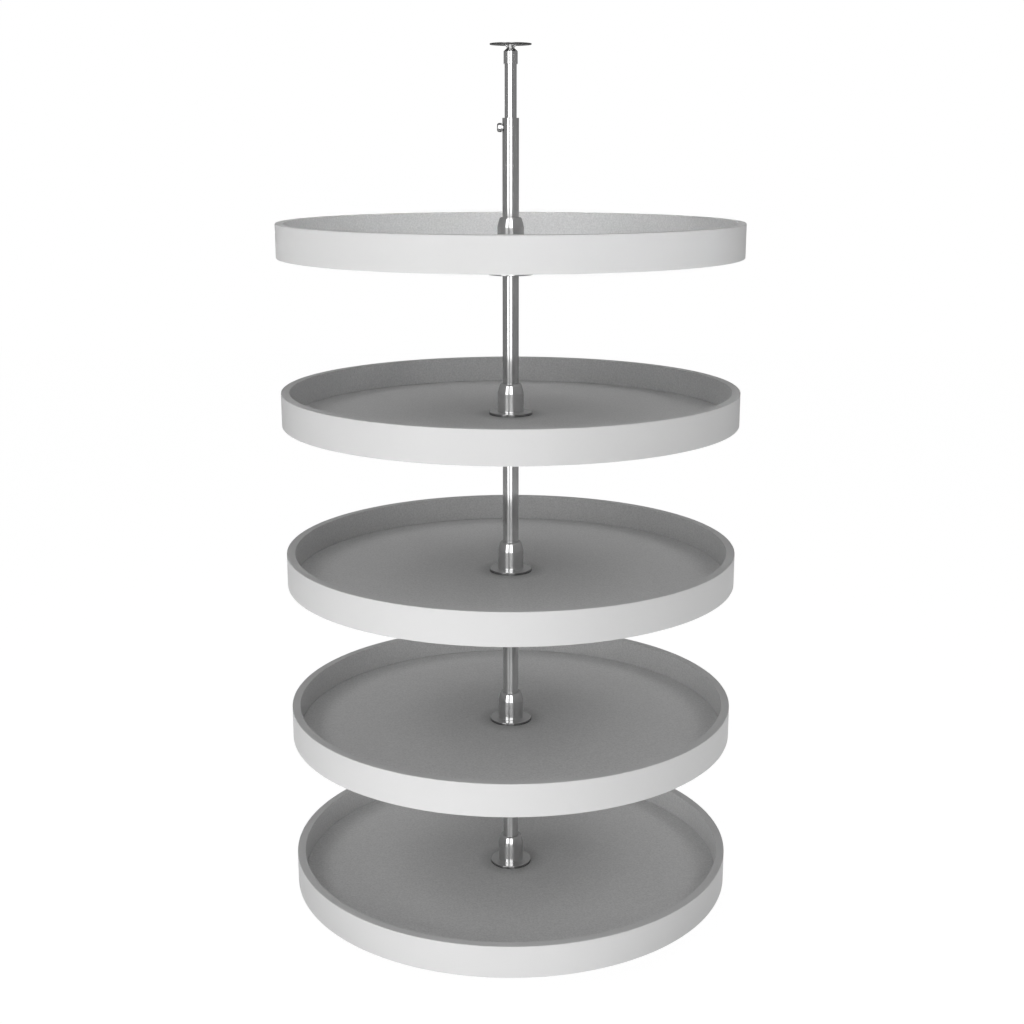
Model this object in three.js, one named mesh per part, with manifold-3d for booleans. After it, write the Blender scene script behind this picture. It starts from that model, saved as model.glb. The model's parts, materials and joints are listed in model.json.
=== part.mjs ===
// Revolving larder fitting: five round trays that turn on a telescopic column.
// Millimetres, +Z up. The origin is the middle of the floor plate's underside, on the column's axis.

import * as THREE from "three";
import { mergeVertices } from "three/addons/utils/BufferGeometryUtils.js";
import Module from "manifold-3d";

// ---------------------------------------------------------------- driving dimensions

// Clearances, each measured from surface to surface.
const fitGap = 0.15; // a piece in the hole that holds it
const runGap = 0.1; // a shaft in the bore that it turns or slides in
const faceGap = 0.3; // two faces that turn on each other
const rubGap = 0.2; // the clamp screw's tip and the rod

// Trays, numbered from the top.
const trayCount = 5;
const trayDiameter = 710;
const trayHeight = 50.8;
const rimWall = 13.3;
const rimEdge = 0.8; // chamfer on the rim's two upper edges
const floorThickness = 9;
const floorRebate = 5; // how far the floor runs into the rim
const trayPitch = 254.5; // from one tray to the next
const lowestTray = 60; // underside of the lowest tray above the origin

// Hub, which clamps the tray's floor from above.
const hubDiameter = 40.6;
const hubHeight = 29;
const hubWall = 5;
const flangeDiameter = 67.5;
const flangeThickness = 4.5;
const flangeEdge = 1.2;
const spigotDiameter = 36;
const capHeight = 15;
const capLip = 1; // width of the flat ring at the cap's upper end
const capShoulderRound = 3.6; // radius of the shoulder between the cap's side and its lip
const capSpigotDepth = 6;
const capShoulderSteps = 3;

// Bearing housing, which clamps the tray's floor from below.
const housingDiameter = 71;
const housingDepth = 29;
const housingWall = 3;
const housingTopWall = 6;
const housingEdge = 1.5;

// Stop collar, which carries the tray on the column.
const collarDiameter = 40;
const collarHeight = 14;
const washerDiameter = 38;
const washerThickness = 3;
const gripScrewDiameter = 6;
const gripScrewSunk = 0.5; // how far the collar screw ends inside the collar's surface
const gripSocket = 3;
const gripSocketDepth = 3;

// Column: a fixed-length tube with a rod that slides in its upper end.
const tubeDiameter = 25;
const tubeWall = 1.5;
const tubeAboveRim = 152.6; // upper end of the tube above the top tray's rim
const rodDiameter = 18;
const rodWall = 1.5;
const rodShown = 77.3; // length of bare rod between the tube and the end cap
const rodInTube = 180;
const guideLength = 30;

// Clamp screw, which holds the rod at its height.
const clampBelowEnd = 14; // screw's axis below the tube's upper end
const clampScrewDiameter = 6;
const clampHeadDiameter = 13.4;
const clampHeadLength = 7;
const clampHeadRound = 3;
const clampSocket = 5;
const clampSocketDepth = 3;
const clampNutDiameter = 9.6;
const clampNutProud = 0.7; // how far the nut stands out of the tube

// End cap on the rod and the pivot under the top plate.
const capShellDiameter = 21;
const capShellHeight = 18.2;
const capSocketDepth = 7.3;
const capConeHeight = 4.5;
const waistDiameter = 11;
const coneDiameter = 18;
const coneHeight = 4.5;
const topPinDiameter = 8;
const topPinLength = 13;
const topPinPoint = 1;
const topPlateDiameter = 62;
const topPlateThickness = 1.8;

// Foot of the column and the floor plate.
const floorPlateDiameter = 80;
const floorPlateThickness = 4;
const footPinDiameter = 10;
const footPinLength = 22;
const footPinPoint = 1;
const footFlangeDiameter = 30;
const footFlangeThickness = 3;
const footWasherDiameter = 24;
const footWasherThickness = 2;
const plugShoulder = 3;
const plugLength = 28;

// Screw holes in both plates.
const plateHoleCount = 4;
const plateHoleDiameter = 4.5;
const plateSinkDiameter = 8.4;
const plateSinkLand = 0.36; // least thickness left under a countersink
const topHoleCircle = 44;
const floorHoleCircle = 58;

// Sides of the round pieces. Multiples of four keep the corners on the X and Y axes.
const traySides = 48;
const turnedSides = 20;
const hiddenSides = 16;
const screwSides = 12;

// ---------------------------------------------------------------- materials

function finish(color, roughness, metalness) {
  return new THREE.MeshStandardMaterial({ color, roughness, metalness });
}

const lacquer = finish(0xdddddd, 0.55, 0);
const chrome = finish(0xd8d8d8, 0.06, 1);
const steel = finish(0x8c8c8c, 0.4, 1);
const nylon = finish(0x2b2b2b, 0.6, 0);

// ---------------------------------------------------------------- shape helpers

const wasm = await Module();
wasm.setup();

// Turns a closed outline of [radius, height] points, listed anticlockwise, round the Z axis.
function turned(outline, sides = turnedSides) {
  const points = outline.map(([radius, height]) => new THREE.Vector2(radius, height));
  const onAxis = outline[0][0] === 0 && outline[outline.length - 1][0] === 0;
  if (!onAxis) points.push(points[0].clone());
  const geometry = new THREE.LatheGeometry(points, sides);
  return geometry.rotateX(Math.PI / 2);
}

// A plain ring from one radius to another and from one height to another.
function ring(inner, outer, low, high, sides = turnedSides) {
  return turned([[inner, low], [outer, low], [outer, high], [inner, high]], sides);
}

// A plain round bar on the Z axis.
function bar(radius, low, high, sides = turnedSides) {
  return turned([[0, low], [radius, low], [radius, high], [0, high]], sides);
}

// The corner radius of a bore whose flats clear a shaft of this radius.
function bore(shaftRadius, gap, sides = turnedSides) {
  return (shaftRadius + gap) / Math.cos(Math.PI / sides);
}

// The corner radius of a shaft that clears the flats of a bore of this radius.
function shaft(boreRadius, gap, sides = turnedSides) {
  return boreRadius * Math.cos(Math.PI / sides) - gap;
}

// Lays a shape made along +Z down, so that it points to -X from the column's axis at this height.
function sideways(geometry, height) {
  return geometry.rotateY(-Math.PI / 2).translate(0, 0, height);
}

function solid(geometry) {
  const bare = geometry.clone();
  bare.deleteAttribute("normal");
  bare.deleteAttribute("uv");
  const merged = mergeVertices(bare, 1e-4);
  const vertProperties = new Float32Array(merged.attributes.position.array);
  const triVerts = new Uint32Array(merged.index.array);
  return new wasm.Manifold(new wasm.Mesh({ numProp: 3, vertProperties, triVerts }));
}

// Cuts every tool out of a geometry and gives a geometry back.
function cut(geometry, ...tools) {
  const left = tools.reduce((body, tool) => body.subtract(solid(tool)), solid(geometry));
  const { vertProperties, triVerts } = left.getMesh();
  const made = new THREE.BufferGeometry();
  made.setAttribute("position", new THREE.BufferAttribute(vertProperties, 3));
  made.setIndex(new THREE.BufferAttribute(triVerts, 1));
  const flat = made.toNonIndexed();
  flat.computeVertexNormals();
  return flat;
}

function piece(name, geometry, material) {
  const mesh = new THREE.Mesh(geometry, material);
  mesh.name = name;
  return mesh;
}

// ---------------------------------------------------------------- heights along the column

const tubeRadius = tubeDiameter / 2;
const rodRadius = rodDiameter / 2;
const bottomOfTray = (number) => lowestTray + (trayCount - number) * trayPitch;
const footFace = floorPlateThickness + footFlangeThickness + footWasherThickness + faceGap;
const tubeLow = footFace + plugShoulder;
const tubeHigh = bottomOfTray(1) + trayHeight + tubeAboveRim;
const clampLevel = tubeHigh - clampBelowEnd;
const capLow = tubeHigh + rodShown;
const capShoulder = capLow + capShellHeight;
const waistLevel = capShoulder + capConeHeight;
const coneLow = waistLevel + faceGap;
const topPlateLow = coneLow + coneHeight;

// ---------------------------------------------------------------- a tray and its bearing

const rimOuter = trayDiameter / 2;
const rimInner = rimOuter - rimWall;
const rebateRadius = rimInner + floorRebate;
const hubRadius = hubDiameter / 2;
const hubBore = hubRadius - hubWall;
const spigotRadius = spigotDiameter / 2;
const flangeTop = floorThickness + flangeThickness;
const hubTop = flangeTop + hubHeight;
const tubeBore = bore(tubeRadius, runGap);
const hiddenTubeBore = bore(tubeRadius, runGap, hiddenSides);
const capSpigotLow = hubTop - capSpigotDepth;
const holderDepth = housingTopWall; // the hub's spigot ends flush with the housing's inner face

// The rim stands on the floor's edge, which sits in a rebate and is flush underneath.
function rim() {
  return turned([
    [rebateRadius, 0],
    [rimOuter, 0],
    [rimOuter, trayHeight - rimEdge],
    [rimOuter - rimEdge, trayHeight],
    [rimInner + rimEdge, trayHeight],
    [rimInner, trayHeight - rimEdge],
    [rimInner, floorThickness],
    [rebateRadius, floorThickness],
  ], traySides);
}

function trayFloor() {
  const hole = bore(spigotRadius, fitGap, traySides);
  return ring(hole, shaft(rebateRadius, fitGap, traySides), 0, floorThickness, traySides);
}

function hub() {
  const flangeRadius = flangeDiameter / 2;
  return turned([
    [hubBore, -holderDepth],
    [spigotRadius, -holderDepth],
    [spigotRadius, floorThickness],
    [flangeRadius, floorThickness],
    [flangeRadius, flangeTop - flangeEdge],
    [flangeRadius - flangeEdge, flangeTop],
    [hubRadius, flangeTop],
    [hubRadius, hubTop],
    [hubBore, hubTop],
  ]);
}

// The cap's side is a cone that leans in from the hub and rounds over a shoulder to the lip round the
// tube. The cone touches the shoulder's circle, so its slope is the direction of the circle's centre,
// less the angle of the tangent.
function hubCap() {
  const lipRadius = tubeBore + capLip;
  const centreHeight = capHeight - capShoulderRound;
  const lean = hubRadius - lipRadius;
  const tangent = Math.asin(capShoulderRound / Math.hypot(lean, centreHeight));
  const slope = Math.atan2(lean, centreHeight) - tangent;
  const side = [[hubRadius, hubTop]];
  for (let step = 0; step <= capShoulderSteps; step += 1) {
    const angle = slope + ((Math.PI / 2 - slope) * step) / capShoulderSteps;
    const radius = lipRadius + capShoulderRound * Math.cos(angle);
    side.push([radius, hubTop + centreHeight + capShoulderRound * Math.sin(angle)]);
  }
  const spigot = shaft(hubBore, fitGap);
  return turned([
    [tubeBore, capSpigotLow],
    [spigot, capSpigotLow],
    [spigot, hubTop],
    ...side,
    [tubeBore, hubTop + capHeight],
  ]);
}

function bush() {
  const outer = shaft(hubBore, fitGap);
  return ring(hiddenTubeBore, outer, -holderDepth, capSpigotLow - faceGap, hiddenSides);
}

function bearingHousing() {
  const outer = housingDiameter / 2;
  const inner = outer - housingWall;
  const hole = bore(spigotRadius, fitGap);
  return turned([
    [hole, -housingTopWall],
    [inner, -housingTopWall],
    [inner, -housingDepth],
    [outer - housingEdge, -housingDepth],
    [outer, -housingDepth + housingEdge],
    [outer, 0],
    [hole, 0],
  ]);
}

const washerTop = -holderDepth - faceGap;
const collarTop = washerTop - washerThickness;
const collarMiddle = collarTop - collarHeight / 2;

function thrustWasher() {
  return ring(hiddenTubeBore, washerDiameter / 2, collarTop, washerTop, hiddenSides);
}

function stopCollar() {
  const low = collarTop - collarHeight;
  const body = ring(hiddenTubeBore, collarDiameter / 2, low, collarTop, hiddenSides);
  const holeRadius = bore(gripScrewDiameter / 2, fitGap, screwSides);
  const hole = sideways(bar(holeRadius, 0, collarDiameter, screwSides), collarMiddle);
  return cut(body, hole);
}

// A headless screw, flush with the collar, with a hexagon socket in its outer end.
function collarScrew() {
  const outerEnd = collarDiameter / 2 - gripScrewSunk;
  const body = bar(gripScrewDiameter / 2, tubeRadius + fitGap, outerEnd, screwSides);
  const socket = bar(gripSocket / Math.sqrt(3), outerEnd - gripSocketDepth, collarDiameter, 6);
  return sideways(cut(body, socket), collarMiddle);
}

function tray(number) {
  const group = new THREE.Group();
  const named = (part) => `tray_${number}_${part}`;
  group.add(
    piece(named("rim"), rim(), lacquer),
    piece(named("floor"), trayFloor(), lacquer),
    piece(named("hub"), hub(), chrome),
    piece(named("hub_cap"), hubCap(), chrome),
    piece(named("bush"), bush(), nylon),
    piece(named("bearing_housing"), bearingHousing(), chrome),
    piece(named("thrust_washer"), thrustWasher(), nylon),
    piece(named("stop_collar"), stopCollar(), steel),
    piece(named("collar_screw"), collarScrew(), steel),
  );
  group.position.z = bottomOfTray(number);
  return group;
}

// ---------------------------------------------------------------- column, rod and clamp

const tubeInner = tubeRadius - tubeWall;
const plugRadius = shaft(tubeInner, fitGap);
const nutRadius = clampNutDiameter / 2;
const nutOuterEnd = tubeRadius + clampNutProud;

function outerTube() {
  const body = ring(tubeInner, tubeRadius, tubeLow, tubeHigh);
  const holeRadius = bore(nutRadius, fitGap, screwSides);
  return cut(body, sideways(bar(holeRadius, 0, tubeDiameter, screwSides), clampLevel));
}

function guideBush() {
  const inner = bore(rodRadius, runGap, hiddenSides);
  const body = ring(inner, plugRadius, tubeHigh - guideLength, tubeHigh, hiddenSides);
  const holeRadius = bore(clampScrewDiameter / 2, fitGap, screwSides);
  return cut(body, sideways(bar(holeRadius, 0, tubeDiameter, screwSides), clampLevel));
}

function clampNut() {
  const holeRadius = bore(clampScrewDiameter / 2, runGap, screwSides);
  return sideways(ring(holeRadius, nutRadius, tubeInner + fitGap, nutOuterEnd, screwSides), clampLevel);
}

// The head's outer edge is a quarter round in two steps, and its socket is a hexagon.
function clampScrew() {
  const headRadius = clampHeadDiameter / 2;
  const headLow = nutOuterEnd + rubGap;
  const headHigh = headLow + clampHeadLength;
  const tip = rodRadius + rubGap;
  const shank = clampScrewDiameter / 2;
  const roundCentre = [headRadius - clampHeadRound, headHigh - clampHeadRound];
  const edge = [0, Math.PI / 4, Math.PI / 2].map((angle) => [
    roundCentre[0] + clampHeadRound * Math.cos(angle),
    roundCentre[1] + clampHeadRound * Math.sin(angle),
  ]);
  const outline = [[0, tip], [shank, tip], [shank, headLow], [headRadius, headLow], ...edge, [0, headHigh]];
  const socketLow = headHigh - clampSocketDepth;
  const socket = bar(clampSocket / Math.sqrt(3), socketLow, headHigh + clampHeadLength, 6);
  return sideways(cut(turned(outline), socket), clampLevel);
}

function innerRod() {
  const high = capLow + capSocketDepth;
  return ring(rodRadius - rodWall, rodRadius, tubeHigh - rodInTube, high);
}

function rodEndCap() {
  const shell = capShellDiameter / 2;
  const socket = bore(rodRadius, fitGap);
  const pinHole = bore(topPinDiameter / 2, runGap);
  const socketHigh = capLow + capSocketDepth + fitGap;
  return turned([
    [socket, capLow],
    [shell, capLow],
    [shell, capShoulder],
    [waistDiameter / 2, waistLevel],
    [pinHole, waistLevel],
    [pinHole, socketHigh],
    [socket, socketHigh],
  ]);
}

function topPivot() {
  const pin = topPinDiameter / 2;
  const pinLow = coneLow - topPinLength;
  return turned([
    [0, pinLow],
    [pin - topPinPoint, pinLow],
    [pin, pinLow + topPinPoint],
    [pin, coneLow],
    [waistDiameter / 2, coneLow],
    [coneDiameter / 2, topPlateLow],
    [0, topPlateLow],
  ]);
}

// ---------------------------------------------------------------- plates and foot

// A round plate with countersunk screw holes. The wide side of the countersink is at sinkLevel.
function screwPlate(diameter, low, high, holeCircle, sinkLevel) {
  const narrow = plateHoleDiameter / 2;
  const wide = plateSinkDiameter / 2;
  const depth = Math.min(wide - narrow, high - low - plateSinkLand);
  const inward = sinkLevel === high ? -depth : depth;
  const sunk = sinkLevel + inward;
  const over = high - low;
  const tools = [];
  for (let hole = 0; hole < plateHoleCount; hole += 1) {
    const angle = ((hole + 0.5) * 2 * Math.PI) / plateHoleCount;
    const x = (holeCircle / 2) * Math.cos(angle);
    const y = (holeCircle / 2) * Math.sin(angle);
    const cone = sinkLevel === high
      ? turned([[0, sunk], [narrow, sunk], [wide, high], [wide, high + over], [0, high + over]], screwSides)
      : turned([[0, low - over], [wide, low - over], [wide, low], [narrow, sunk], [0, sunk]], screwSides);
    const drill = bar(narrow, low - over, high + over, screwSides);
    tools.push(cone.translate(x, y, 0), drill.translate(x, y, 0));
  }
  return cut(bar(diameter / 2, low, high), ...tools);
}

function floorPlate() {
  const high = floorPlateThickness;
  return screwPlate(floorPlateDiameter, 0, high, floorHoleCircle, high);
}

function topPlate() {
  const high = topPlateLow + topPlateThickness;
  return screwPlate(topPlateDiameter, topPlateLow, high, topHoleCircle, topPlateLow);
}

const footFlangeTop = floorPlateThickness + footFlangeThickness;
const footPinRadius = footPinDiameter / 2;

function footPivot() {
  const pinHigh = footFlangeTop + footPinLength;
  return turned([
    [0, floorPlateThickness],
    [footFlangeDiameter / 2, floorPlateThickness],
    [footFlangeDiameter / 2, footFlangeTop],
    [footPinRadius, footFlangeTop],
    [footPinRadius, pinHigh - footPinPoint],
    [footPinRadius - footPinPoint, pinHigh],
    [0, pinHigh],
  ]);
}

function footWasher() {
  const hole = bore(footPinRadius, runGap, hiddenSides);
  const high = footFlangeTop + footWasherThickness;
  return ring(hole, footWasherDiameter / 2, footFlangeTop, high, hiddenSides);
}

function footPlug() {
  const hole = bore(footPinRadius, runGap);
  return turned([
    [hole, footFace],
    [tubeRadius, footFace],
    [tubeRadius, tubeLow],
    [plugRadius, tubeLow],
    [plugRadius, tubeLow + plugLength],
    [hole, tubeLow + plugLength],
  ]);
}

// ---------------------------------------------------------------- the whole fitting

const larder = new THREE.Group();
for (let number = 1; number <= trayCount; number += 1) larder.add(tray(number));
larder.add(
  piece("floor_plate", floorPlate(), chrome),
  piece("foot_pivot", footPivot(), steel),
  piece("foot_washer", footWasher(), nylon),
  piece("foot_plug", footPlug(), nylon),
  piece("outer_tube", outerTube(), chrome),
  piece("guide_bush", guideBush(), nylon),
  piece("clamp_nut", clampNut(), steel),
  piece("clamp_screw", clampScrew(), chrome),
  piece("inner_rod", innerRod(), chrome),
  piece("rod_end_cap", rodEndCap(), chrome),
  piece("top_pivot", topPivot(), chrome),
  piece("top_plate", topPlate(), chrome),
);

export default larder;
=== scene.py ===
# %% [markdown]
# # A revolving larder fitting
# Five round trays turn on a telescopic chrome column that stands between the floor and the top of a tall
# kitchen unit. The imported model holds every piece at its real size, but with flat facets. This notebook
# makes each piece again as a smooth one, in the same place, and gives it its finish.
#
# Every piece made here replaces one of its nodes and rides on that node's body, so the joints still
# work.

# %% Load the frame
import json
import math

import bmesh
import bpy
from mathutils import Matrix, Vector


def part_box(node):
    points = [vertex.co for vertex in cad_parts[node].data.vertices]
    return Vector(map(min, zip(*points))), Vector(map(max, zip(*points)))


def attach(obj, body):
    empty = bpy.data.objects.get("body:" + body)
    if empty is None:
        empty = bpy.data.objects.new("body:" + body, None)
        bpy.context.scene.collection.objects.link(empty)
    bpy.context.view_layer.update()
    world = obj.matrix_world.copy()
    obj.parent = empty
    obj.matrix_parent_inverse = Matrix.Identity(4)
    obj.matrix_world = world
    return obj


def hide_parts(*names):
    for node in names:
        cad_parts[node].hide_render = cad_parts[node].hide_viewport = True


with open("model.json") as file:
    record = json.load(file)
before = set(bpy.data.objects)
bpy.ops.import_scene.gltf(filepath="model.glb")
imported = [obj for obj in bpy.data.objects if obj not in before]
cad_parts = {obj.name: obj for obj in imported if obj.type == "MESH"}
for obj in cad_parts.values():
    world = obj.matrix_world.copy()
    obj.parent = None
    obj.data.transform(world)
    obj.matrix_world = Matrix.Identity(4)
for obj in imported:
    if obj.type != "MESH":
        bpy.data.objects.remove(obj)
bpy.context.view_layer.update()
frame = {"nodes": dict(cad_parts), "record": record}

# %% [markdown]
# ## The camera
# The camera stands in front of the fitting, a little above the top tray, and looks down by about 14
# degrees. At this angle the top tray shows its rim almost edge-on, and each lower tray opens up more than
# the one above.

# %% Place the camera
CAMERA_PLACE = (0.0020, -2.3084, 1.2398)
CAMERA_TILT = math.radians(76.229)  # 90 degrees would look level
CAMERA_LENS = 52.43

camera_data = bpy.data.cameras.new("camera")
camera_data.lens = CAMERA_LENS
camera_data.sensor_width = 36
camera = bpy.data.objects.new("camera", camera_data)
camera.location = CAMERA_PLACE
camera.rotation_euler = (CAMERA_TILT, 0, 0)
bpy.context.collection.objects.link(camera)
bpy.context.scene.camera = camera
print("camera", tuple(round(value, 3) for value in camera.location))

# %% [markdown]
# ## Sizes from the frame
# Nearly every piece is round and stands on the Z axis, so three numbers place it: its outer radius and its
# lowest and highest point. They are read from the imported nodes. Only what a box can't say, such as the
# thickness of a wall or the radius of an edge, is a named value beside the piece that needs it.

# %% Measure round nodes
MM = 0.001


def radius_of(node):
    """Outer radius of a round node that stands on the Z axis."""
    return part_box(node)[1][0]


def low_of(node):
    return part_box(node)[0][2]


def high_of(node):
    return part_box(node)[1][2]


TRAYS = 5
LOWEST = TRAYS  # trays are numbered from the top
tray_low = low_of(f"tray_{LOWEST}_rim")
tray_radius = radius_of(f"tray_{LOWEST}_rim")
tray_height = high_of(f"tray_{LOWEST}_rim") - tray_low
tray_pitch = low_of(f"tray_{LOWEST - 1}_rim") - tray_low
print("tray", tray_radius, tray_height, "pitch", tray_pitch)

# %% [markdown]
# ## How a turned piece is made
# A lathe makes most of this object, and a circle does the same work in Blender. A circle is added at the
# first point of the outline, its edge is extruded to the next point and scaled to that point's radius, and
# so on. A ring ends where it started, so its last loop is bridged to its first one. A solid bar starts as a
# filled circle instead, which the extrusions carry up as their cap.
#
# The Spin tool could turn an outline too, but then its seam has to be merged again, and an outline is
# harder to draw than a list of radius and height.

# %% Helpers for turned pieces
FINE = 96  # sides of the small pieces
CLAMP_SIDES = 64
SCREW_SIDES = 48
HEXAGON = 6


def only(piece):
    """Makes this the one selected object."""
    bpy.ops.object.select_all(action="DESELECT")
    piece.select_set(True)
    bpy.context.view_layer.objects.active = piece


def circle_at(radius, height, sides, fill):
    bpy.ops.object.select_all(action="DESELECT")
    bpy.ops.mesh.primitive_circle_add(
        vertices=sides, radius=radius, fill_type=fill, location=(0, 0, height)
    )
    bpy.ops.object.transform_apply(location=True)
    return bpy.context.object


def raise_along(outline):
    """Extrudes the selected loop or face to each further point of the outline."""
    for (radius, height), (next_radius, next_height) in zip(outline, outline[1:]):
        lift = {"value": (0, 0, next_height - height)}
        bpy.ops.mesh.extrude_region_move(TRANSFORM_OT_translate=lift)
        grow = next_radius / radius
        bpy.ops.transform.resize(value=(grow, grow, 1))


def ring(name, outline, sides=FINE):
    """A turned piece with a bore: its outline closes on itself."""
    piece = circle_at(*outline[0], sides, "NOTHING")
    bpy.ops.object.mode_set(mode="EDIT")
    bpy.ops.mesh.select_all(action="SELECT")
    raise_along(outline)
    bpy.ops.mesh.select_mode(type="EDGE")
    bpy.ops.mesh.select_non_manifold(extend=False)
    bpy.ops.mesh.bridge_edge_loops()
    return turned(piece, name)


def bar(name, outline, sides=FINE):
    """A turned piece without a bore: flat at both ends."""
    piece = circle_at(*outline[0], sides, "NGON")
    bpy.ops.object.mode_set(mode="EDIT")
    bpy.ops.mesh.select_all(action="SELECT")
    raise_along(outline)
    return turned(piece, name)


def turned(piece, name):
    bpy.ops.mesh.select_all(action="SELECT")
    bpy.ops.mesh.normals_make_consistent(inside=False)
    bpy.ops.object.mode_set(mode="OBJECT")
    piece.name = piece.data.name = name
    return piece


# %% [markdown]
# ## Rounded edges
# No real edge is sharp. A thin line of light along each edge tells the eye what the piece is made of and
# how thick it is. The edges to round are picked by radius and height, and beveled in edit mode. After that
# the faces are shaded smooth, and a Weighted Normal modifier keeps the broad faces flat in spite of the
# narrow ones beside them.

# %% Helpers for edges, cuts and shading
NEAR = 0.02 * MM


def round_edges(piece, width, corners=None, steps=3):
    """Bevels the ring edges at these (radius, height) corners, or every sharp edge."""
    only(piece)
    bpy.ops.object.mode_set(mode="EDIT")
    bpy.ops.mesh.select_mode(type="EDGE")
    bpy.ops.mesh.select_all(action="DESELECT")
    if corners is None:
        bpy.ops.mesh.edges_select_sharp(sharpness=math.radians(35))
    else:
        mesh = bmesh.from_edit_mesh(piece.data)
        for edge in mesh.edges:
            ends = [(math.hypot(end.co.x, end.co.y), end.co.z) for end in edge.verts]
            edge.select_set(any(at_corner(ends, corner) for corner in corners))
        bmesh.update_edit_mesh(piece.data)
    bpy.ops.mesh.bevel(offset=width, segments=steps, affect="EDGES")
    bpy.ops.object.mode_set(mode="OBJECT")


def at_corner(ends, corner):
    return all(math.dist(end, corner) < NEAR for end in ends)


def apply_modifier(piece, kind, **settings):
    only(piece)
    modifier = piece.modifiers.new(kind.lower(), kind)
    for key, value in settings.items():
        setattr(modifier, key, value)
    bpy.ops.object.modifier_apply(modifier=modifier.name)


def cut_out(piece, *tools):
    """Cuts the tools out of the piece and throws them away."""
    for tool in tools:
        apply_modifier(piece, "BOOLEAN", operation="DIFFERENCE", solver="EXACT", object=tool)
        bpy.data.objects.remove(tool)


def lay_towards_minus_x(piece, height):
    """Turns a piece that was made up the Z axis, so that it points to -X at this height."""
    piece.rotation_euler = (0, -math.pi / 2, 0)
    piece.location = (0, 0, height)
    only(piece)
    bpy.ops.object.transform_apply(location=True, rotation=True)


def shade(piece, angle=40):
    only(piece)
    bpy.ops.object.shade_smooth_by_angle(angle=math.radians(angle))
    apply_modifier(piece, "WEIGHTED_NORMAL", keep_sharp=True, weight=80)
    print(piece.name, len(piece.data.polygons), "faces")


# %% [markdown]
# ## Placing a piece
# A finished piece takes the place of one node. The record says which body that node belongs to and which
# finish it has, so one function settles all three. The finish's material is given later, when all pieces
# exist.

# %% Helper that settles a piece on its node
body_of_node = {
    node: body for body, nodes in frame["record"]["behaviour"]["bodies"].items() for node in nodes
}
slot_of_node = {row["node"]: row["material_slot"] for row in frame["record"]["subparts"]}
settled = {}


def settle(piece, node):
    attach(piece, body_of_node[node])
    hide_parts(node)
    settled[node] = piece


def settle_on_trays(piece, part):
    """Settles a piece made for the lowest tray, and a copy of it on each tray above."""
    for number in range(LOWEST, 0, -1):
        copy = piece
        if number != LOWEST:
            only(piece)
            bpy.ops.object.duplicate(linked=False)
            copy = bpy.context.object
            copy.location.z = (LOWEST - number) * tray_pitch
            bpy.ops.object.transform_apply(location=True)
        copy.name = copy.data.name = f"larder_tray_{number}_{part}"
        settle(copy, f"tray_{number}_{part}")


# %% [markdown]
# ## Tray rim
# The rim is a band of board bent into a ring, 13 mm thick and 51 mm high, with softly broken edges. It
# stands on the floor's edge, and a fine shadow line shows where the two boards meet. The rim is turned from
# its outline, with the foot of the inner wall chamfered, because that groove is what draws the dark line in
# the real tray.

# %% Make the tray rim
RIM_WALL = 13.3 * MM
RIM_EDGE = 1.0 * MM
RIM_GROOVE = 0.7 * MM
FLOOR_REBATE = 5 * MM
JOINT = 0.1 * MM  # air between two pieces that touch
TRAY_SIDES = 256

rim_inner = tray_radius - RIM_WALL
rebate = rim_inner + FLOOR_REBATE
floor_top = high_of(f"tray_{LOWEST}_floor")
rim_top = tray_low + tray_height
rim_foot = floor_top + JOINT

rim_outline = [
    (rebate, tray_low),
    (tray_radius, tray_low),
    (tray_radius, rim_top),
    (rim_inner, rim_top),
    (rim_inner, rim_foot),
    (rebate, rim_foot),
]
rim = ring("rim", rim_outline, TRAY_SIDES)
round_edges(rim, RIM_EDGE, [(tray_radius, rim_top), (rim_inner, rim_top)], steps=4)
round_edges(rim, RIM_GROOVE, [(rim_inner, rim_foot), (tray_radius, tray_low)])
shade(rim)
settle_on_trays(rim, "rim")

# %% [markdown]
# ## Tray floor
# The floor is a round board, 9 mm thick, with a hole in the middle for the hub. Its edge is hidden in the
# rim's rebate, and underneath it lies flush with the rim. The same turned ring does it, with both edges of
# the underside broken so that the joint shows from below as well.

# %% Make the tray floor
FLOOR_EDGE = 0.4 * MM
HUB_HOLE = 18.2 * MM

floor_radius = rebate - JOINT
floor_outline = [
    (HUB_HOLE, tray_low),
    (floor_radius, tray_low),
    (floor_radius, floor_top),
    (HUB_HOLE, floor_top),
]
tray_floor = ring("floor", floor_outline, TRAY_SIDES)
round_edges(tray_floor, FLOOR_EDGE, floor_outline)
shade(tray_floor)
settle_on_trays(tray_floor, "floor")

# %% [markdown]
# ## Hub
# The hub clamps the floor from above. It is one turned piece: a spigot through the floor, a flat flange and
# an upright cylinder. The flange's rim is well rounded and catches a dark and a bright line. The corner
# between flange and cylinder has a small fillet, as a turning tool leaves it.

# %% Make the hub
HUB_RADIUS = 20.3 * MM
HUB_BORE = 15.3 * MM
SPIGOT = 18 * MM
FLANGE = 4.5 * MM
FLANGE_ROUND = 1.3 * MM
HUB_FILLET = 0.6 * MM
SEAM = 0.25 * MM  # chamfer on each side of the joint line between hub and cap

hub_low = low_of(f"tray_{LOWEST}_hub")
hub_top = high_of(f"tray_{LOWEST}_hub")
flange_radius = radius_of(f"tray_{LOWEST}_hub")
flange_top = floor_top + FLANGE

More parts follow.
